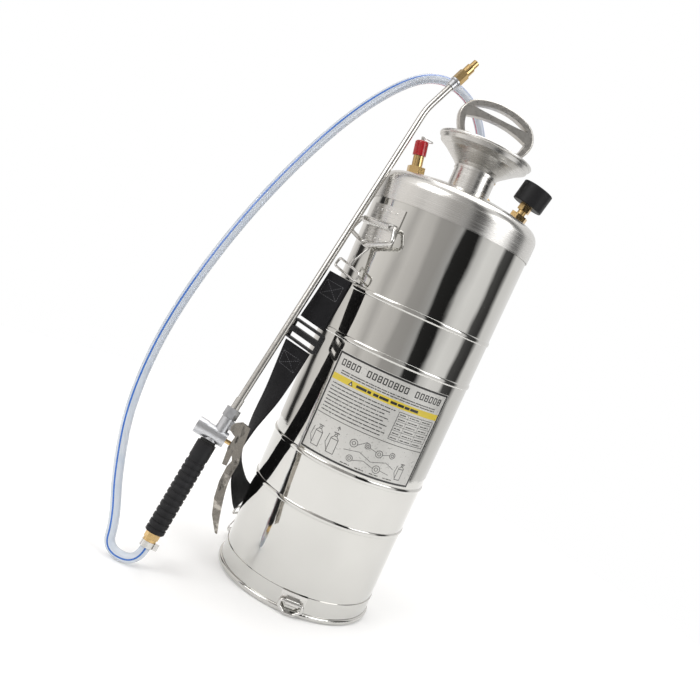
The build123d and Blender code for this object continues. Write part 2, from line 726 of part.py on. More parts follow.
valve_stem = stack(valve_frame, ((-1.8, 5.7, 4.0), (3.9, 14.5, 2.5)))
valve_stem.part.label = "valve_stem"
export_step(valve_stem.part, "parts/valve_stem.step")
valve_spring = coil(valve_frame, -19.8, 17.8, 3.2, 0.5, 6)
valve_spring.part.label = "valve_spring"
export_step(valve_spring.part, "parts/valve_spring.step")

lance_nut = stack(wand, ((186.3, 11.7, "hex14.8"),), ((186.3, 11.7, lance_r),))
lance_nut.part.label = "lance_nut"
export_step(lance_nut.part, "parts/lance_nut.step")
nozzle_spot = nozzle_frame.from_local_coords(Vector(0, 0, lance_end))
with BuildPart() as lance_tube:
    with BuildLine() as path:
        FilletPolyline(
            wand.from_local_coords(Vector(0, 0, 186.3)),
            wand.from_local_coords(Vector(0, 0, lance_bend_z)),
            nozzle_spot,
            radius=80,
        )
    with BuildSketch(path.line ^ 0):
        Circle(lance_r)
        Circle(lance_r - 1, mode=Mode.SUBTRACT)
    sweep(path=path.line)
    with BuildSketch(wand.offset(198)):
        Circle(lance_r + 0.9)
        Circle(lance_r - 1, mode=Mode.SUBTRACT)
    extrude(amount=13)
lance_tube.part.label = "lance_tube"
export_step(lance_tube.part, "parts/lance_tube.step")

nozzle_nut = stack(
    nozzle_frame,
    ((lance_end - 3, 8, 5.6), (lance_end + 5, 2, 7.0)),
    ((lance_end - 3, 3, lance_r), (lance_end, 7, 2.0)),
)
nozzle_nut.part.label = "nozzle_nut"
export_step(nozzle_nut.part, "parts/nozzle_nut.step")
nozzle_body = stack(
    nozzle_frame,
    ((lance_end + 7, 14, "hex12"), (lance_end + 21, 9, 3.0)),
    ((lance_end + 7, 20, 1.6),),
)
nozzle_body.part.label = "nozzle_body"
export_step(nozzle_body.part, "parts/nozzle_body.step")
nozzle_cap = stack(
    nozzle_frame,
    ((lance_end + 21.3, 10, 5.6), (lance_end + 31.3, 9, 4.1)),
    ((lance_end + 21.3, 9.5, 3.0 + fit_gap), (lance_end + 21.3, 20, 0.7)),
)
nozzle_cap.part.label = "nozzle_cap"
export_step(nozzle_cap.part, "parts/nozzle_cap.step")

lever_wide, lever_skin = 12.0, 1.4
with BuildPart() as trigger_lever:
    with BuildSketch(wand_profile):
        with BuildLine():
            Polyline((9, 184.5), (16, 190), (26.5, 189), (31.4, 166), (36.8, 148), (37, 139))
            Spline((37, 139), (39, 122), (44.4, 104), (51.2, 86), (58.2, 70))
            Polyline((58.2, 70), (55.4, 70), (42, 85.5), (33.7, 103), (28.7, 121), (27.2, 138), (28.8, 147))
            Polyline((28.8, 147), (26, 152), (18, 153.5), (16.5, 158), (17.4, 172), (9, 175.5), (7.4, 180), (9, 184.5))
        make_face()
    extrude(amount=lever_wide / 2, both=True)
    with BuildSketch(wand_profile):
        with BuildLine():
            Polyline((0, 200), (24, 192), (25.2, 188.5), (30, 165.6), (35.4, 147.6), (35.6, 139))
            Spline((35.6, 139), (37.6, 121.6), (43, 103.4), (49.8, 85.4), (56.8, 69.2))
            Polyline((56.8, 69.2), (50, 60), (0, 60), (0, 200))
        make_face()
    extrude(amount=lever_wide / 2 - lever_skin, both=True, mode=Mode.SUBTRACT)
trigger_lever.part.label = "trigger_lever"
export_step(trigger_lever.part, "parts/trigger_lever.step")

with BuildPart() as lever_pins:
    with BuildSketch(wand_profile):
        with Locations(pivot):
            Circle(2.0)
        with Locations(thrust_pin):
            Circle(2.0)
    extrude(amount=lever_wide / 2 - lever_skin, both=True)
lever_pins.part.label = "lever_pins"
export_step(lever_pins.part, "parts/lever_pins.step")

with BuildPart() as lock_catch:
    with BuildSketch(wand_profile):
        with BuildLine():
            Polyline((16.8, 158.5), (21, 139), (26.5, 139.6), (24.4, 159), (22, 163), (18.5, 162.6), (16.8, 158.5))
        make_face()
    extrude(amount=4.4, both=True)
    with BuildSketch(wand_profile):
        with Locations((20, 165)):
            Rectangle(30, 40)
    extrude(amount=3.1, both=True, mode=Mode.SUBTRACT)
    with BuildSketch(wand_profile):
        with Locations(thrust_pin):
            Circle(2.0 + fit_gap)
    extrude(amount=6, both=True, mode=Mode.SUBTRACT)
lock_catch.part.label = "lock_catch"
export_step(lock_catch.part, "parts/lock_catch.step")

# ---------------------------------------------------------------- hose
hose_route = (
    (2, 69.0, 590),
    (-22, 66, 630),
    (-47, 54, 650),
    (-85, 28, 653),
    (-122, -3, 622),
    (-168, -42, 540),
    (-214, -82, 410),
    (-241, -117, 275),
    (-243, -135, 170),
    (-225, -144, 92),
    (-206, -147, 41),
    (-202, -149, 6.2),
    (-165, -151.5, 6.2),
)
hose_start = tail_frame.from_local_coords(Vector(0, 0, 8))
hose_finish = grip_frame.origin
hose_corners = [hose_start] + [Vector(*point) for point in hose_route] + [hose_finish]


def bend_radii(corners):
    """Arc at each inner corner: its tangents take 0.45 of a shared run, or 0.9 of the first and last."""
    runs = [(after - before).length for before, after in zip(corners, corners[1:])]
    room = [runs[0] * 0.9] + [run * 0.45 for run in runs[1:-1]] + [runs[-1] * 0.9]
    radii = []
    for i in range(1, len(corners) - 1):
        turned = radians((corners[i] - corners[i - 1]).get_angle(corners[i + 1] - corners[i]))
        radii.append(min(room[i - 1], room[i]) / tan(turned / 2))
    return radii


hose_radii = bend_radii(hose_corners)
print("hose radii", [round(radius, 1) for radius in hose_radii])
with BuildPart() as hose:
    with BuildLine() as path:
        FilletPolyline(*hose_corners, radius=hose_radii)
    with BuildSketch(path.line ^ 0):
        Circle(hose_r)
    sweep(path=path.line)
hose_length = path.wires()[0].length
hose_volume = hose_length * pi * hose_r**2
print("hose length", round(hose_length, 1), "volume ratio", round(hose.part.volume / hose_volume, 4))
hose.part.label = "hose"
export_step(hose.part, "parts/hose.step")
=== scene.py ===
"""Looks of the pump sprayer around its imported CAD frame. Metres, in the CAD's own frame."""
import json
from math import cos, hypot, pi, radians, sin

import bmesh
import bpy
from mathutils import Matrix, Vector


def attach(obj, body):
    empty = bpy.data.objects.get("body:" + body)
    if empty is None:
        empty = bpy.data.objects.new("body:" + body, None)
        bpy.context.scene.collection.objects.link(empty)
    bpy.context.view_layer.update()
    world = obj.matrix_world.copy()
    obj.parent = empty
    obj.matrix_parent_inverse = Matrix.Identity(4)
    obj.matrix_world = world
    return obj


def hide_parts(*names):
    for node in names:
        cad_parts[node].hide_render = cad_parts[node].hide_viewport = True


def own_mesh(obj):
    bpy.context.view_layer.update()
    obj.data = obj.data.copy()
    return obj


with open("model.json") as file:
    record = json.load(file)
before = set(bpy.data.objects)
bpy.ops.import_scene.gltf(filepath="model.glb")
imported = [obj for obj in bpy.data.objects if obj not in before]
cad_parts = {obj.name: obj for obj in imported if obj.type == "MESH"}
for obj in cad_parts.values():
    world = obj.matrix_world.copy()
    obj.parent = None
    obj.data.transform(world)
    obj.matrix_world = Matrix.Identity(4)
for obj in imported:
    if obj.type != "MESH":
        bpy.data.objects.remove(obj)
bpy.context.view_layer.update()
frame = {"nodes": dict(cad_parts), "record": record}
nodes = frame["nodes"]
MM = 0.001


# ---------------------------------------------------------------- camera
def place_camera():
    """Camera in front of the label, rolled so that the sprayer leans to the right."""
    data = bpy.data.cameras.new("camera")
    data.lens, data.sensor_width = 38.6, 36.0
    data.shift_x, data.shift_y = -0.0363, 0.066
    data.clip_end = 50
    camera = bpy.data.objects.new("camera", data)
    bpy.context.scene.collection.objects.link(camera)
    pitch, roll = radians(90 - 7.77), radians(24.22)
    camera.matrix_world = (
        Matrix.Translation((0, -0.9332, 0.391))
        @ Matrix.Rotation(pitch, 4, "X")
        @ Matrix.Rotation(roll, 4, "Z")
    )
    bpy.context.scene.camera = camera


place_camera()


def add_object(name, data, body=None, material=None):
    """Links a new piece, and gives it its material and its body."""
    piece = bpy.data.objects.new(name, data)
    bpy.context.scene.collection.objects.link(piece)
    if material:
        data.materials.clear()
        data.materials.append(material)
    if body:
        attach(piece, body)
    return piece


def mesh_of(name, points, faces, uvs=None, smooth=True):
    """Mesh from points in millimetres; uvs holds one pair per point."""
    mesh = bpy.data.meshes.new(name)
    mesh.from_pydata([Vector(p) * MM for p in points], [], faces)
    if uvs:
        layer = mesh.uv_layers.new(name="cloth")
        for loop in mesh.loops:
            layer.data[loop.index].uv = uvs[loop.vertex_index]
    for face in mesh.polygons:
        face.use_smooth = smooth
    mesh.update()
    return mesh


class Frame:
    """A CAD frame: origin in millimetres, z direction and a rough x direction."""

    def __init__(self, origin, ahead, across):
        self.o, self.z = Vector(origin), Vector(ahead).normalized()
        across = Vector(across)
        self.x = (across - self.z * across.dot(self.z)).normalized()
        self.y = self.z.cross(self.x)

    def at(self, x, y, z):
        return self.o + self.x * x + self.y * y + self.z * z


gauge = Frame((66.5, -20.0, 526.73), (0.1973, -0.0593, 0.9785), (0.288, 0.9576, 0))


# ---------------------------------------------------------------- node materials
class Nodes:
    """Short names for building a principled material."""

    def __init__(self, name):
        self.mat = bpy.data.materials.new(name)
        self.mat.use_nodes = True
        self.tree = self.mat.node_tree
        self.tree.nodes.clear()
        self.out = self.tree.nodes.new("ShaderNodeOutputMaterial")
        self.bsdf = self.tree.nodes.new("ShaderNodeBsdfPrincipled")
        self.join(self.bsdf.outputs[0], self.out.inputs["Surface"])

    def join(self, source, target):
        self.tree.links.new(source, target)

    def new(self, kind, **values):
        node = self.tree.nodes.new("ShaderNode" + kind)
        for key, value in values.items():
            setattr(node, key, value)
        return node

    def math(self, operation, a, b=0.0, c=0.0):
        node = self.new("Math", operation=operation)
        for socket, value in zip(node.inputs, (a, b, c)):
            if isinstance(value, (int, float)):
                socket.default_value = value
            else:
                self.join(value, socket)
        return node.outputs[0]

    def coords(self, kind="Object"):
        return self.new("TexCoord").outputs[kind]

    def scaled(self, vector, scale):
        node = self.new("VectorMath", operation="MULTIPLY")
        self.join(vector, node.inputs[0])
        node.inputs[1].default_value = scale
        return node.outputs[0]

    def noise(self, vector, scale, detail=3.0, roughness=0.5):
        node = self.new("TexNoise")
        self.join(vector, node.inputs["Vector"])
        node.inputs["Scale"].default_value = scale
        node.inputs["Detail"].default_value = detail
        node.inputs["Roughness"].default_value = roughness
        return node.outputs[0]

    def ranged(self, value, low, high, start=0.3, end=0.7):
        node = self.new("MapRange")
        self.join(value, node.inputs["Value"])
        node.inputs["From Min"].default_value = start
        node.inputs["From Max"].default_value = end
        node.inputs["To Min"].default_value = low
        node.inputs["To Max"].default_value = high
        return node.outputs[0]

    def blend(self, factor, first, second):
        node = self.new("Mix", data_type="RGBA")
        self.join(factor, node.inputs["Factor"])
        for socket, value in (("A", first), ("B", second)):
            target = [item for item in node.inputs if item.name == socket and item.type == "RGBA"][0]
            if isinstance(value, tuple):
                target.default_value = (*value, 1)
            else:
                self.join(value, target)
        return [item for item in node.outputs if item.type == "RGBA"][0]

    def bump(self, *layers):
        """Stacks bump layers, each (height, strength, distance in metres)."""
        normal = None
        for height, strength, distance in layers:
            node = self.new("Bump")
            node.inputs["Strength"].default_value = strength
            node.inputs["Distance"].default_value = distance
            self.join(height, node.inputs["Height"])
            if normal:
                self.join(normal, node.inputs["Normal"])
            normal = node.outputs[0]
        self.join(normal, self.bsdf.inputs["Normal"])

    def put(self, socket, value):
        if isinstance(value, tuple):
            self.bsdf.inputs[socket].default_value = (*value, 1) if len(value) == 3 else value
        elif isinstance(value, (int, float)):
            self.bsdf.inputs[socket].default_value = value
        else:
            self.join(value, self.bsdf.inputs[socket])
        return self


def worn(name, base, tint, metallic, rough, grain=260, grain_bump=0.12, coat=0.0, sway=0.0, specular=0.5):
    """General surface: colour drifts from base to tint, roughness varies, grain and slow sway in the bump."""
    n = Nodes(name)
    where = n.coords()
    drift = n.noise(where, 14, 4)
    fine = n.noise(where, grain, 4, 0.6)
    slow = n.noise(where, 55, 2)
    n.put("Base Color", n.blend(n.ranged(drift, 0, 1), base, tint))
    n.put("Metallic", metallic)
    n.put("Roughness", n.ranged(fine, rough * 0.75, rough * 1.3))
    n.put("Coat Weight", coat)
    n.put("Coat Roughness", 0.12)
    n.put("Specular IOR Level", specular)
    n.bump((slow, sway, 0.003), (fine, grain_bump, 0.0004))
    return n.mat


def turned(name, base, tint, rough, pitch=900.0, strength=0.10):
    """Metal with fine tool marks round the tank's axis."""
    n = Nodes(name)
    where = n.coords()
    parts = n.new("SeparateXYZ")
    n.join(where, parts.inputs[0])
    radius = n.math("SQRT", n.math("ADD", n.math("MULTIPLY", parts.outputs[0], parts.outputs[0]),
                                   n.math("MULTIPLY", parts.outputs[1], parts.outputs[1])))
    lines = n.new("CombineXYZ")
    n.join(radius, lines.inputs[0])
    n.join(parts.outputs[2], lines.inputs[2])
    rings = n.noise(lines.outputs[0], pitch, 3, 0.6)
    drift = n.noise(where, 22, 4)
    n.put("Base Color", n.blend(n.ranged(drift, 0, 1), base, tint))
    n.put("Metallic", 1.0)
    n.put("Roughness", n.ranged(rings, rough * 0.7, rough * 1.3))
    n.put("Anisotropic", 0.4)
    n.bump((rings, strength, 0.0003))
    return n.mat


def mirror_steel():
    """Rolled, polished sheet: almost a mirror, with long shallow waves and faint wiping marks."""
    n = Nodes("mirror_steel")
    where = n.coords()
    waves = n.noise(n.scaled(where, (1, 1, 0.35)), 11, 2, 0.4)
    dents = n.noise(n.scaled(where, (1, 1, 0.6)), 34, 2, 0.4)
    wiping = n.noise(n.scaled(where, (1, 1, 14)), 60, 3, 0.6)
    drift = n.noise(where, 9, 3)
    n.put("Base Color", n.blend(n.ranged(drift, 0, 1), (0.64, 0.635, 0.61), (0.595, 0.59, 0.565)))
    n.put("Metallic", 1.0)
    n.put("Roughness", n.ranged(wiping, 0.03, 0.09))
    n.bump((waves, 0.8, 0.0032), (dents, 0.5, 0.0010), (wiping, 0.03, 0.0001))
    return n.mat


def webbing_cloth():
    """Woven nylon: two crossed sets of ribs in the strap's own coordinates, in millimetres."""
    n = Nodes("black_webbing")
    cloth = n.new("UVMap", uv_map="cloth").outputs[0]
    parts = n.new("SeparateXYZ")
    n.join(cloth, parts.inputs[0])
    along_mm, across_mm = parts.outputs[0], parts.outputs[1]
    herring = n.math("PINGPONG", across_mm, 4.75)
    slant = n.math("SINE", n.math("MULTIPLY", n.math("ADD", along_mm, herring), 2 * pi / 1.9))
    cord = n.math("SINE", n.math("MULTIPLY", across_mm, 2 * pi / 1.18))
    weave = n.math("ADD", n.math("MULTIPLY", slant, 0.55), n.math("MULTIPLY", cord, 0.45))
    fuzz = n.noise(n.coords(), 1900, 2)
    lint = n.noise(n.coords(), 45, 4)
    shade = n.math("ADD", n.math("MULTIPLY", weave, 0.5), 0.5)
    dark = n.blend(shade, (0.004, 0.004, 0.005), (0.016, 0.016, 0.018))
    n.put("Base Color", n.blend(n.ranged(lint, 0, 0.2), dark, (0.03, 0.03, 0.034)))
    n.put("Roughness", n.ranged(fuzz, 0.55, 0.8))
    n.put("Specular IOR Level", 0.15)
    n.bump((weave, 0.8, 0.00035), (fuzz, 0.2, 0.0002))
    return n.mat


def hose_plastic():
    """Bluish clear hose with one blue and one red line along it."""
    n = Nodes("clear_hose")
    turn = n.new("SeparateXYZ")
    n.join(n.new("UVMap", uv_map="cloth").outputs[0], turn.inputs[0])
    around = turn.outputs[1]

    def line(centre, half):
        return n.math("LESS_THAN", n.math("ABSOLUTE", n.math("SUBTRACT", around, centre)), half)

    cloud = n.noise(n.coords(), 60, 3)
    body = n.blend(n.ranged(cloud, 0, 1), (0.70, 0.77, 0.87), (0.80, 0.85, 0.91))
    blue = n.blend(line(0.20, 0.030), body, (0.03, 0.16, 0.62))
    red = n.blend(line(0.86, 0.022), blue, (0.62, 0.10, 0.16))
    n.put("Base Color", red)
    n.put("Transmission Weight", 0.35)
    n.put("IOR", 1.45)
    n.put("Roughness", n.ranged(cloud, 0.16, 0.26))
    n.put("Coat Weight", 0.4)
    n.put("Coat Roughness", 0.08)
    n.bump((cloud, 0.08, 0.0004))
    return n.mat


def clear_glass():
    n = Nodes("glass")
    smear = n.noise(n.coords(), 90, 3)
    n.put("Base Color", n.blend(n.ranged(smear, 0, 1), (0.96, 0.98, 0.98), (0.92, 0.95, 0.95)))
    n.put("Transmission Weight", 1.0)
    n.put("Roughness", n.ranged(smear, 0.02, 0.07))
    n.bump((smear, 0.02, 0.0001))
    return n.mat


def moulded(name, base, tint, rough):
    """Moulded plastic with a fine spark-eroded grain."""
    return worn(name, base, tint, 0.0, rough, grain=900, grain_bump=0.25, specular=0.22)


palette = {
    "mirror_steel": mirror_steel(),
    "satin_steel": turned("satin_steel", (0.74, 0.73, 0.71), (0.66, 0.65, 0.625), 0.25),
    "cast_aluminium": worn(
        "cast_aluminium", (0.66, 0.635, 0.60), (0.57, 0.55, 0.515), 1.0, 0.34, 700, 0.25, sway=0.4
    ),
    "brass": worn("brass", (0.74, 0.52, 0.24), (0.62, 0.43, 0.19), 1.0, 0.22, 500, 0.10),
    "nickel": worn("nickel", (0.58, 0.545, 0.49), (0.46, 0.43, 0.385), 1.0, 0.20, 420, 0.08, sway=0.8),
    "zinc": worn("zinc", (0.62, 0.63, 0.65), (0.50, 0.51, 0.53), 1.0, 0.36, 520, 0.25, sway=0.4),
    "wire_steel": worn("wire_steel", (0.72, 0.71, 0.69), (0.60, 0.59, 0.57), 1.0, 0.17, 500, 0.06),
    "copper": worn("copper", (0.76, 0.44, 0.27), (0.62, 0.35, 0.22), 1.0, 0.28, 500, 0.08),
    "spring_steel": worn("spring_steel", (0.50, 0.50, 0.50), (0.38, 0.38, 0.38), 1.0, 0.30),
    "red_plastic": worn("red_plastic", (0.62, 0.008, 0.018), (0.50, 0.006, 0.014), 0.0, 0.28, 600, 0.08, 0.5),
    "black_plastic": moulded("black_plastic", (0.012, 0.012, 0.013), (0.022, 0.022, 0.024), 0.42),
    "rubber": moulded("rubber", (0.018, 0.018, 0.018), (0.03, 0.03, 0.03), 0.6),
    "dip_plastic": moulded("dip_plastic", (0.74, 0.74, 0.71), (0.66, 0.66, 0.63), 0.45),
    "black_webbing": webbing_cloth(),
    "clear_hose": hose_plastic(),
    "glass": clear_glass(),
    "label": worn("label", (0.66, 0.655, 0.63), (0.62, 0.615, 0.59), 0.25, 0.32, 300, 0.01, 0.3),
}
label_ink = worn("label_ink", (0.018, 0.018, 0.018), (0.03, 0.03, 0.03), 0.0, 0.35, 600, 0.05, 0.3)
label_yellow = worn("label_yellow", (0.72, 0.56, 0.05), (0.64, 0.50, 0.05), 0.0, 0.35, 600, 0.05, 0.3)
label_pale = worn("label_pale", (0.80, 0.80, 0.79), (0.74, 0.74, 0.72), 0.0, 0.35, 600, 0.05, 0.3)
thread = worn("thread", (0.05, 0.05, 0.055), (0.09, 0.09, 0.10), 0.0, 0.6, 1500, 0.3)

tube_steel = worn("tube_steel", (0.66, 0.645, 0.615), (0.56, 0.545, 0.515), 1.0, 0.24, 420, 0.06, sway=0.1)

slot_of = {row["node"]: row["material_slot"] for row in frame["record"]["subparts"]}
for node_name, node in nodes.items():
    node.data.materials.clear()
    node.data.materials.append(tube_steel if node_name == "lance_tube" else palette[slot_of[node_name]])


# ---------------------------------------------------------------- hose
hose_r = 5.75
hose_route = (
    (22.5, 69.27, 550.64), (2, 69, 590), (-22, 66, 630), (-47, 54, 650), (-85, 28, 653), (-122, -3, 622),
    (-168, -42, 540), (-214, -82, 410), (-241, -117, 275), (-243, -135, 170), (-225, -144, 92),
    (-206, -147, 41), (-202, -149, 6.2), (-165, -151.5, 6.2), (-163.4, -145.98, 25.74),
)


def smooth_path(corners, steps=14):
    """Quadratic B-spline with clamped ends through the corners' polygon, as points in millimetres."""
    pts = [Vector(c) for c in corners]
    joints = [pts[0]] + [(a + b) / 2 for a, b in zip(pts[1:-2], pts[2:-1])] + [pts[-1]]
    line = []
    for i, middle in enumerate(pts[1:-1]):
        for step in range(steps + (i == len(pts) - 3)):
            t = step / steps
            line.append(joints[i] * (1 - t) ** 2 + middle * (2 * t * (1 - t)) + joints[i + 1] * t**2)
    return line


def tube(name, line, radius, body, material, sides=28):
    """Round tube along a line of points, without twist; its "cloth" map holds run and turn."""
    points, uvs, faces = [], [], []
    normal, run = Vector((0, -1, 0)), 0.0
    for i, centre in enumerate(line):
        ahead = (line[min(i + 1, len(line) - 1)] - line[max(i - 1, 0)]).normalized()
        normal = (normal - ahead * normal.dot(ahead)).normalized()
        side = ahead.cross(normal)
        run += (centre - line[i - 1]).length if i else 0
        for k in range(sides + 1):
            angle = 2 * pi * k / sides
            points.append(centre + (normal * cos(angle) + side * sin(angle)) * radius)
            uvs.append((run, k / sides))
    ring = sides + 1
    for i in range(len(line) - 1):
        for k in range(sides):
            a = i * ring + k
            faces.append((a, a + 1, a + ring + 1, a + ring))
    for first, spot in ((0, line[0]), ((len(line) - 1) * ring, line[-1])):
        hub = len(points)
        points.append(spot)
        uvs.append((0, 0.5))
        for k in range(sides):
            a = first + k
            faces.append((a, hub, a + 1) if first == 0 else (a, a + 1, hub))
    piece = add_object(name, mesh_of(name, points, faces, uvs), body, material)
    fix = bmesh.new()
    fix.from_mesh(piece.data)
    bmesh.ops.remove_doubles(fix, verts=fix.verts, dist=1e-7)
    bmesh.ops.recalc_face_normals(fix, faces=fix.faces)
    fix.to_mesh(piece.data)
    fix.free()
    return piece


hose_line = smooth_path(hose_route)
hose = tube("hose_tube", hose_line, hose_r, "tank", palette["clear_hose"])
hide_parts("hose")


# ---------------------------------------------------------------- webbing
strap_wide, layer_thick = 38.0, 1.9


def spread(stations, steps=10):
    """Catmull-Rom points through stations, each (centre, width direction), as (centre, width)."""
    keys = [(Vector(c), Vector(w).normalized()) for c, w in stations]
    keys = [keys[0]] + keys + [keys[-1]]
    rows = []
    for i in range(1, len(keys) - 2):
        for step in range(steps + (i == len(keys) - 3)):
            t = step / steps
            weights = (
                -0.5 * t + t**2 - 0.5 * t**3,
                1 - 2.5 * t**2 + 1.5 * t**3,
                0.5 * t + 2 * t**2 - 1.5 * t**3,
                -0.5 * t**2 + 0.5 * t**3,
            )
            centre = sum((k[0] * w for k, w in zip(keys[i - 1:i + 3], weights)), Vector())
            width = sum((k[1] * w for k, w in zip(keys[i - 1:i + 3], weights)), Vector())
            rows.append((centre, width.normalized()))
    return rows


def band(name, rows, thick, wide, body, shift=0.0):
    """Closed flat band with rounded edges along rows, moved shift along its own normal."""
    half, edge = wide / 2, thick / 2
    outline = [(-half + edge, edge), (-half / 3, edge * 1.02), (half / 3, edge * 1.02), (half - edge, edge),
               (half - edge * 0.3, edge * 0.7), (half, 0), (half - edge * 0.3, -edge * 0.7),
               (half - edge, -edge), (half / 3, -edge), (-half / 3, -edge), (-half + edge, -edge),
               (-half + edge * 0.3, -edge * 0.7), (-half, 0), (-half + edge * 0.3, edge * 0.7)]
    points, uvs, faces = [], [], []
    run = 0.0
    count = len(outline)
    for i, (centre, width) in enumerate(rows):
        ahead = rows[min(i + 1, len(rows) - 1)][0] - rows[max(i - 1, 0)][0]
        normal = width.cross(ahead).normalized()
        across = ahead.cross(normal).normalized()
        if i:
            run += (centre - rows[i - 1][0]).length
        for x, y in outline:
            points.append(centre + across * x + normal * (y + shift))
            uvs.append((run, x + (0 if y >= 0 else 60)))
    for i in range(len(rows) - 1):
        for k in range(count):
            a, b = i * count + k, i * count + (k + 1) % count
            faces.append((a, a + count, b + count, b))
    faces.append(tuple(range(count)))
    faces.append(tuple(range(len(points) - 1, len(points) - 1 - count, -1)))
    mesh = mesh_of(name, points, faces, uvs)
    piece = add_object(name, mesh, body, palette["black_webbing"])
    fix = bmesh.new()
    fix.from_mesh(piece.data)
    bmesh.ops.recalc_face_normals(fix, faces=fix.faces)
    fix.to_mesh(piece.data)
    fix.free()
    return piece


upper_rows = spread((
    ((-91.0, -74.2, 382.5), (0.76, -0.62, -0.13)),
    ((-95.0, -76.5, 352.0), (0.82, -0.56, -0.12)),
    ((-99.6, -77.8, 321.0), (0.88, -0.46, -0.12)),
))
lower_rows = spread((
    ((-104.6, -78.0, 290.0), (0.90, -0.42, -0.12)),
    ((-110.0, -74.0, 232.0), (0.66, -0.75, -0.04)),
    ((-119.0, -64.0, 184.0), (0.36, -0.93, -0.10)),
    ((-123.0, -48.0, 148.0), (0.14, -0.96, -0.27)),
    ((-121.0, -29.0, 114.0), (0.08, -0.87, -0.48)),
    ((-111.0, 6.0, 78.0), (-0.05, -0.74, -0.67)),
    ((-103.5, 40.0, 58.0), (-0.40, -0.83, -0.38)),
))
upper_outer = band("strap_upper_outer", upper_rows, layer_thick, strap_wide, "upper_link", shift=-1.2)
band("strap_upper_inner", upper_rows, layer_thick, strap_wide, "upper_link", shift=1.2)
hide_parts("strap_upper")
lower_band = band("strap_lower_band", lower_rows[:-1], layer_thick, strap_wide, "tank")
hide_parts("strap_lower")


# ---------------------------------------------------------------- spring copies
def soft_spring(node_name, body):
    """Copy of a CAD spring on the given body, with its own mesh; the CAD spring is hidden."""
    mesh = nodes[node_name].data.copy()
    piece = add_object(node_name + "_coil", mesh, body, palette["spring_steel"])
    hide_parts(node_name)
    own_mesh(piece)


soft_spring("relief_spring", "tank")
soft_spring("valve_spring", "wand")


# ---------------------------------------------------------------- printed label
label_r, label_start, label_low, label_high = 100.34, -34.5, 187.5, 308.0
label_wide = 85 * pi / 180 * label_r


class Print:
    """Collects flat marks on the label: x runs right from its left edge and z up, in millimetres."""

    def __init__(self, proud):
        self.r, self.points, self.faces = label_r + proud, [], []

    def quad(self, corners):
        """Marks a four-sided patch, cut finely enough to follow the tank."""
        (x0, z0), (x1, z1), (x2, z2), (x3, z3) = corners
        steps = max(1, round(max(abs(x1 - x0), abs(x2 - x3)) / 4))
        first = len(self.points)
        for i in range(steps + 1):
            t = i / steps
            for xa, za, xb, zb in ((x0, z0, x1, z1), (x3, z3, x2, z2)):
                angle = radians(label_start) + (xa + (xb - xa) * t) / label_r
                z = label_low + za + (zb - za) * t
                self.points.append((self.r * sin(angle), -self.r * cos(angle), z))
        for i in range(steps):
            a = first + 2 * i
            self.faces.append((a, a + 2, a + 3, a + 1))

    def bar(self, x0, z0, x1, z1):
        self.quad(((x0, z0), (x1, z0), (x1, z1), (x0, z1)))

    def outline(self, x0, z0, x1, z1, pen=0.4):
        self.bar(x0, z0, x1, z0 + pen)
        self.bar(x0, z1 - pen, x1, z1)
        self.bar(x0, z0 + pen, x0 + pen, z1 - pen)
        self.bar(x1 - pen, z0 + pen, x1, z1 - pen)

    def stroke(self, start, end, pen=0.65):
        """Marks a straight pen line between two points."""
        (x0, z0), (x1, z1) = start, end
        long = hypot(x1 - x0, z1 - z0)
        sx, sz = -(z1 - z0) / long * pen / 2, (x1 - x0) / long * pen / 2
        self.quad(((x0 - sx, z0 - sz), (x1 - sx, z1 - sz), (x1 + sx, z1 + sz), (x0 + sx, z0 + sz)))

    def ring(self, x, z, radius, pen=0.65, sides=16):
        turns = [2 * pi * i / sides for i in range(sides)]
        spots = [(x + radius * cos(turn), z + radius * sin(turn)) for turn in turns]
        for i in range(sides):
            self.stroke(spots[i], spots[(i + 1) % sides], pen)

    def words(self, x0, x1, z, tall, seed):
        """Marks a greeked line of print: blocks of uneven width, with gaps."""
        x, k = x0, seed
        while x < x1 - tall:
            k = (k * 37 + 11) % 101
            wide = tall * (0.9 + k % 7 * 0.55)
            end = min(x + wide, x1)
            self.bar(x, z, end, z + tall)
            x = end + tall * (0.35 if k % 3 else 0.9)

    def make(self, name, material):
        piece = add_object(name, mesh_of(name, self.points, self.faces), "tank", material)
        fix = bmesh.new()
        fix.from_mesh(piece.data)
        for face in fix.faces:
            middle = face.calc_center_median()
            if face.normal.x * middle.x + face.normal.y * middle.y < 0:
                face.normal_flip()
        fix.to_mesh(piece.data)
        fix.free()
        return piece


tall_label = label_high - label_low
ink, yellow, pale = Print(0.10), Print(0.06), Print(0.14)
ink.outline(0.6, 0.6, label_wide - 0.6, tall_label - 0.6, 2.2)
for i in range(20):
    block = 6.6 * i + 8 + (0.9 if i > 3 else 0) + (0.9 if i > 12 else 0)
    if i in (4, 13):
        continue
    ink.outline(block, 105.4, block + 4.9, 113.2, 1.25)
    if i % 3 == 1:
        ink.bar(block + 1.2, 108.7, block + 3.7, 109.7)
for k, z in enumerate((99.4, 96.6)):
    ink.words(12, label_wide - 12, z, 1.1, 5 + k)
yellow.bar(3.2, 87.4, label_wide - 3.2, 94.6)
ink.words(36, label_wide - 34, 89.3, 3.1, 17)
ink.quad(((26, 88.3), (32, 88.3), (29.3, 93.5), (28.7, 93.5)))
pale.quad(((27.9, 89.1), (30.1, 89.1), (29.15, 91.2), (28.85, 91.2)))
for i in range(9):
    z = 83.0 - 4.1 * i
    ink.words(7, 88 - (i * 13 % 9), z, 1.15, 3 + i)
ink.bar(3.2, 45.8, label_wide - 3.2, 46.5)
ink.outline(93, 50.5, label_wide - 6, 84.5, 0.6)
for i in range(1, 6):
    z = 50.5 + 34 * i / 6
    ink.bar(93, z, label_wide - 6, z + 0.45)
for x in (106, 124):
    ink.bar(x, 50.5, x + 0.35, 84.5)
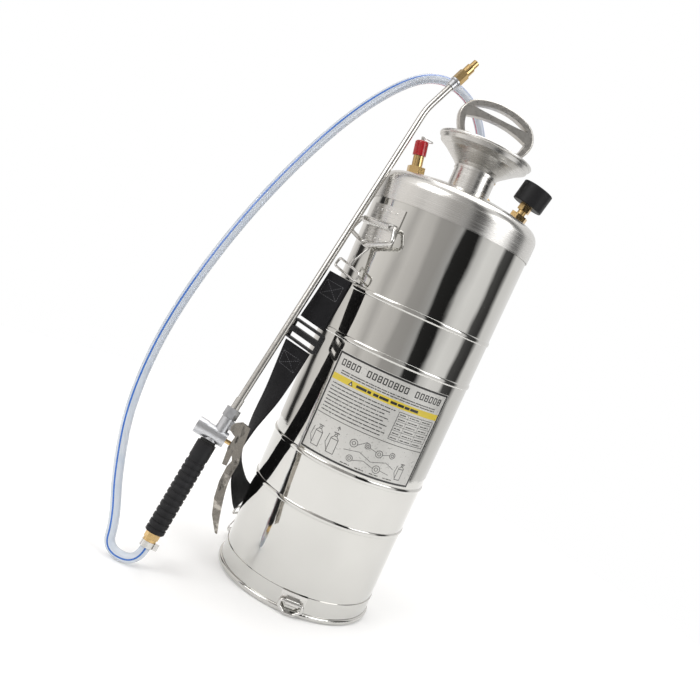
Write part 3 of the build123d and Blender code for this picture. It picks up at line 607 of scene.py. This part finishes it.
for i in range(6):
    for k, x in enumerate((95, 108, 126)):
        ink.words(x, x + (9, 14, 13)[k], 52.6 + 34 * i / 6, 1.1, 7 * i + k)


def little_sprayer(x, z, scale):
    """Outline drawing of a sprayer: tank, dome, handle and hose."""
    ink.outline(x - 4 * scale, z, x + 4 * scale, z + 14 * scale, 0.7)
    ink.stroke((x - 4 * scale, z + 14 * scale), (x - 1.5 * scale, z + 16.5 * scale))
    ink.stroke((x + 4 * scale, z + 14 * scale), (x + 1.5 * scale, z + 16.5 * scale))
    ink.outline(x - 1.5 * scale, z + 16.5 * scale, x + 1.5 * scale, z + 19 * scale, 0.7)
    ink.stroke((x - 2.8 * scale, z + 20 * scale), (x + 2.8 * scale, z + 20 * scale), 0.9)
    ink.stroke((x - 4 * scale, z + 2 * scale), (x - 7.5 * scale, z + 8 * scale))
    ink.stroke((x - 7.5 * scale, z + 8 * scale), (x - 6.5 * scale, z + 17 * scale))


for x, z, scale in ((17, 8, 1.25), (38, 8, 1.25), (127, 7, 1.0)):
    little_sprayer(x, z, scale)
ink.stroke((38, 36), (38, 40), 0.8)
ink.stroke((36, 38), (38, 41), 0.6)
ink.stroke((40, 38), (38, 41), 0.6)
for x, z, r in ((60, 31, 4.5), (76, 34, 3.2), (92, 30, 4.2), (108, 33, 3.4), (62, 13, 3.6), (96, 12, 4.6)):
    ink.ring(x, z, r)
    ink.ring(x, z, r * 0.45)
for start, end in (
    ((64, 30), (74, 38)), ((79, 33), (88, 31)), ((96, 30), (105, 33)),
    ((52, 20), (70, 24)), ((70, 24), (86, 18)),
    ((86, 18), (104, 23)), ((104, 23), (116, 18)), ((66, 12), (78, 16)),
    ((78, 16), (91, 12)), ((101, 12), (113, 10)),
):
    ink.stroke(start, end, 0.55)
for i, x in enumerate((54, 72, 90, 108)):
    ink.words(x, x + 12, 4.6, 1.0, 23 + i)
ink.make("label_ink", label_ink)
yellow.make("label_band", label_yellow)
pale.make("label_marks", label_pale)


# ---------------------------------------------------------------- gauge face
def dial_marks():
    """Scale round the gauge's dial: long and short ticks from 225 to -45 degrees."""
    points, faces = [], []
    for i in range(31):
        angle = radians(225 - 9 * i)
        inner, half = (11.6, 0.32) if i % 5 == 0 else (13.4, 0.16)
        radial = (cos(angle), sin(angle))
        first = len(points)
        for r, side in ((inner, -half), (15.2, -half), (15.2, half), (inner, half)):
            points.append(gauge.at(radial[0] * r - radial[1] * side, radial[1] * r + radial[0] * side, 38.66))
        faces.append((first, first + 1, first + 2, first + 3))
    add_object("dial_marks", mesh_of("dial_marks", points, faces, smooth=False), "tank", label_ink)


dial_marks()


# ---------------------------------------------------------------- welds and stitches
def blobs(name, spots, body, material, size, flat=1.0):
    """Many small domes in one mesh; each spot is (centre, outward direction)."""
    mesh = bpy.data.meshes.new(name)
    shape = bmesh.new()
    for centre, outward in spots:
        turn = Vector(outward).normalized().to_track_quat("Z", "Y").to_matrix().to_4x4()
        scaling = Matrix.Diagonal((size * MM, size * MM, size * flat * MM, 1))
        placed = Matrix.Translation(Vector(centre) * MM) @ turn @ scaling
        bmesh.ops.create_uvsphere(shape, u_segments=12, v_segments=8, radius=1, matrix=placed)
    shape.to_mesh(mesh)
    shape.free()
    for face in mesh.polygons:
        face.use_smooth = True
    return add_object(name, mesh, body, material)


def stitches(name, rows, offset, body, pattern):
    """Short raised threads on a band: pattern gives (run start, x start, run end, x end) in millimetres."""
    lengths = [0.0]
    for a, b in zip(rows, rows[1:]):
        lengths.append(lengths[-1] + (b[0] - a[0]).length)

    def spot(run, x):
        i = max(k for k, value in enumerate(lengths) if value <= run or k == 0)
        i = min(i, len(rows) - 2)
        t = (run - lengths[i]) / (lengths[i + 1] - lengths[i])
        centre, width = rows[i][0].lerp(rows[i + 1][0], t), rows[i][1]
        ahead = rows[i + 1][0] - rows[i][0]
        normal = width.cross(ahead).normalized()
        across = ahead.cross(normal).normalized()
        return centre + across * x + normal * offset, ahead.normalized(), across, normal

    points, faces = [], []
    for run0, x0, run1, x1 in pattern:
        long = hypot(run1 - run0, x1 - x0)
        count = max(1, round(long / 3.0))
        for i in range(count):
            t0, t1 = (i + 0.12) / count, (i + 0.80) / count
            a, ahead, across, normal = spot(run0 + (run1 - run0) * t0, x0 + (x1 - x0) * t0)
            b = spot(run0 + (run1 - run0) * t1, x0 + (x1 - x0) * t1)[0]
            way = (b - a).normalized()
            side = way.cross(normal) * 0.34
            lift = normal * (0.3 if offset > 0 else -0.3)
            first = len(points)
            middle = (a + b) / 2 + lift
            points += [a - side, a + side, b + side, b - side, middle - side * 0.7, middle + side * 0.7]
            corners = ((0, 1, 5, 4), (4, 5, 2, 3), (0, 4, 3), (1, 2, 5))
            faces += [tuple(first + k for k in corner) for corner in corners]
    return add_object(name, mesh_of(name, points, faces), body, thread)


def box_stitch(start, long, half=14.0):
    end = start + long
    return ((start, -half, end, -half), (start, half, end, half), (start, -half, start, half),
            (end, -half, end, half), (start, -half, end, half), (start, half, end, -half))


def weld_spots():
    """Spot welds on the upper bracket's plate: two rows beside the rolled channel."""
    spots = []
    for height in (470.5, 437.5):
        for azimuth in (-58, -52.5, -47.5, -42.5, -37):
            outward = Vector((sin(radians(azimuth)), -cos(radians(azimuth)), 0))
            spots.append((outward * 101.45 + Vector((0, 0, height)), outward))
    blobs("weld_spots", spots, "tank", palette["satin_steel"], 1.9, 0.22)


weld_spots()
stitches("stitches_upper", upper_rows, -2.18, "upper_link", box_stitch(10, 18))
stitches("stitches_lower", lower_rows, -1.0, "tank", box_stitch(12, 16))


# ---------------------------------------------------------------- floor, light, world
def stage():
    """Pale floor, three soft boxes and a bright surround with dark gaps for the steel to reflect."""
    scene = bpy.context.scene
    floor_mesh = bpy.data.meshes.new("floor")
    sides, reach = 128, 0.95
    rim = [(reach * cos(2 * pi * i / sides), reach * sin(2 * pi * i / sides), 0) for i in range(sides)]
    floor_mesh.from_pydata(rim, [], [tuple(range(sides))])
    floor = bpy.data.objects.new("floor", floor_mesh)
    scene.collection.objects.link(floor)
    floor.location.z = -0.0004
    scene.view_settings.view_transform = "Standard"
    paint = Nodes("floor")
    drift = paint.ranged(paint.noise(paint.coords(), 1.2), 0, 1)
    paint.put("Base Color", paint.blend(drift, (0.95, 0.95, 0.95), (0.94, 0.94, 0.94)))
    paint.put("Roughness", 0.9)
    paint.put("Emission Color", (1.0, 1.0, 1.0))
    paint.put("Emission Strength", 0.10)
    floor_mesh.materials.append(paint.mat)

    world = bpy.data.worlds.new("studio")
    scene.world = world
    world.use_nodes = True
    tree = world.node_tree
    tree.nodes.clear()

    def new(kind, **values):
        node = tree.nodes.new("ShaderNode" + kind)
        for key, value in values.items():
            setattr(node, key, value)
        return node

    where = new("TexCoord")
    parts = new("SeparateXYZ")
    tree.links.new(where.outputs["Generated"], parts.inputs[0])
    angle = new("Math", operation="ARCTAN2")
    back = new("Math", operation="MULTIPLY")
    back.inputs[1].default_value = -1
    tree.links.new(parts.outputs[1], back.inputs[0])
    tree.links.new(parts.outputs[0], angle.inputs[0])
    tree.links.new(back.outputs[0], angle.inputs[1])
    spread_angle = new("MapRange")
    spread_angle.inputs["From Min"].default_value = -pi
    spread_angle.inputs["From Max"].default_value = pi
    tree.links.new(angle.outputs[0], spread_angle.inputs["Value"])
    ramp = new("ValToRGB")
    tree.links.new(spread_angle.outputs[0], ramp.inputs[0])
    stops = (
        (-180, 0.95), (-150, 1.0), (-133, 0.80), (-126, 0.05), (-118, 0.04), (-112, 0.9), (-84, 1.1),
        (-62, 0.95),
        (-50, 0.66), (-38, 0.86), (-20, 0.74), (-13, 0.50), (4, 0.46), (16, 0.54), (21, 0.03),
        (40, 0.02), (47, 0.8),
        (62, 1.1), (82, 1.0), (90, 0.10), (106, 0.05), (116, 0.95), (150, 1.0), (180, 0.95),
    )
    bands = ramp.color_ramp
    bands.elements[0].position, bands.elements[1].position = 0, 1
    for degrees_from_front, level in stops:
        position = degrees_from_front / 360 + 0.5
        if 0 < position < 1:
            element = bands.elements.new(position)
        else:
            element = bands.elements[0 if position <= 0 else len(bands.elements) - 1]
        warm = 0.94 if degrees_from_front < 10 else 0.98
        element.color = (level, level * (1 + warm) / 2, level * warm, 1)
    plain = new("Background")
    plain.inputs["Color"].default_value = (1, 1, 1, 1)
    plain.inputs["Strength"].default_value = 1.0
    banded = new("Background")
    banded.inputs["Strength"].default_value = 0.9
    tree.links.new(ramp.outputs[0], banded.inputs["Color"])
    seen = new("LightPath")
    choose = new("MixShader")
    tree.links.new(seen.outputs["Is Camera Ray"], choose.inputs[0])
    tree.links.new(banded.outputs[0], choose.inputs[1])
    tree.links.new(plain.outputs[0], choose.inputs[2])
    out = new("OutputWorld")
    tree.links.new(choose.outputs[0], out.inputs["Surface"])

    for name, spot, size, power in (
        ("key", (-1.6, -1.5, 1.9), 1.4, 22),
        ("fill", (1.9, -1.0, 1.4), 1.2, 12),
        ("top", (0.1, 0.4, 2.6), 1.8, 22),
    ):
        data = bpy.data.lights.new(name, "AREA")
        data.size, data.energy = size, power
        lamp = bpy.data.objects.new(name, data)
        scene.collection.objects.link(lamp)
        lamp.location = spot
        lamp.rotation_euler = (Vector((0, 0, 0.3)) - Vector(spot)).to_track_quat("-Z", "Y").to_euler()


stage()
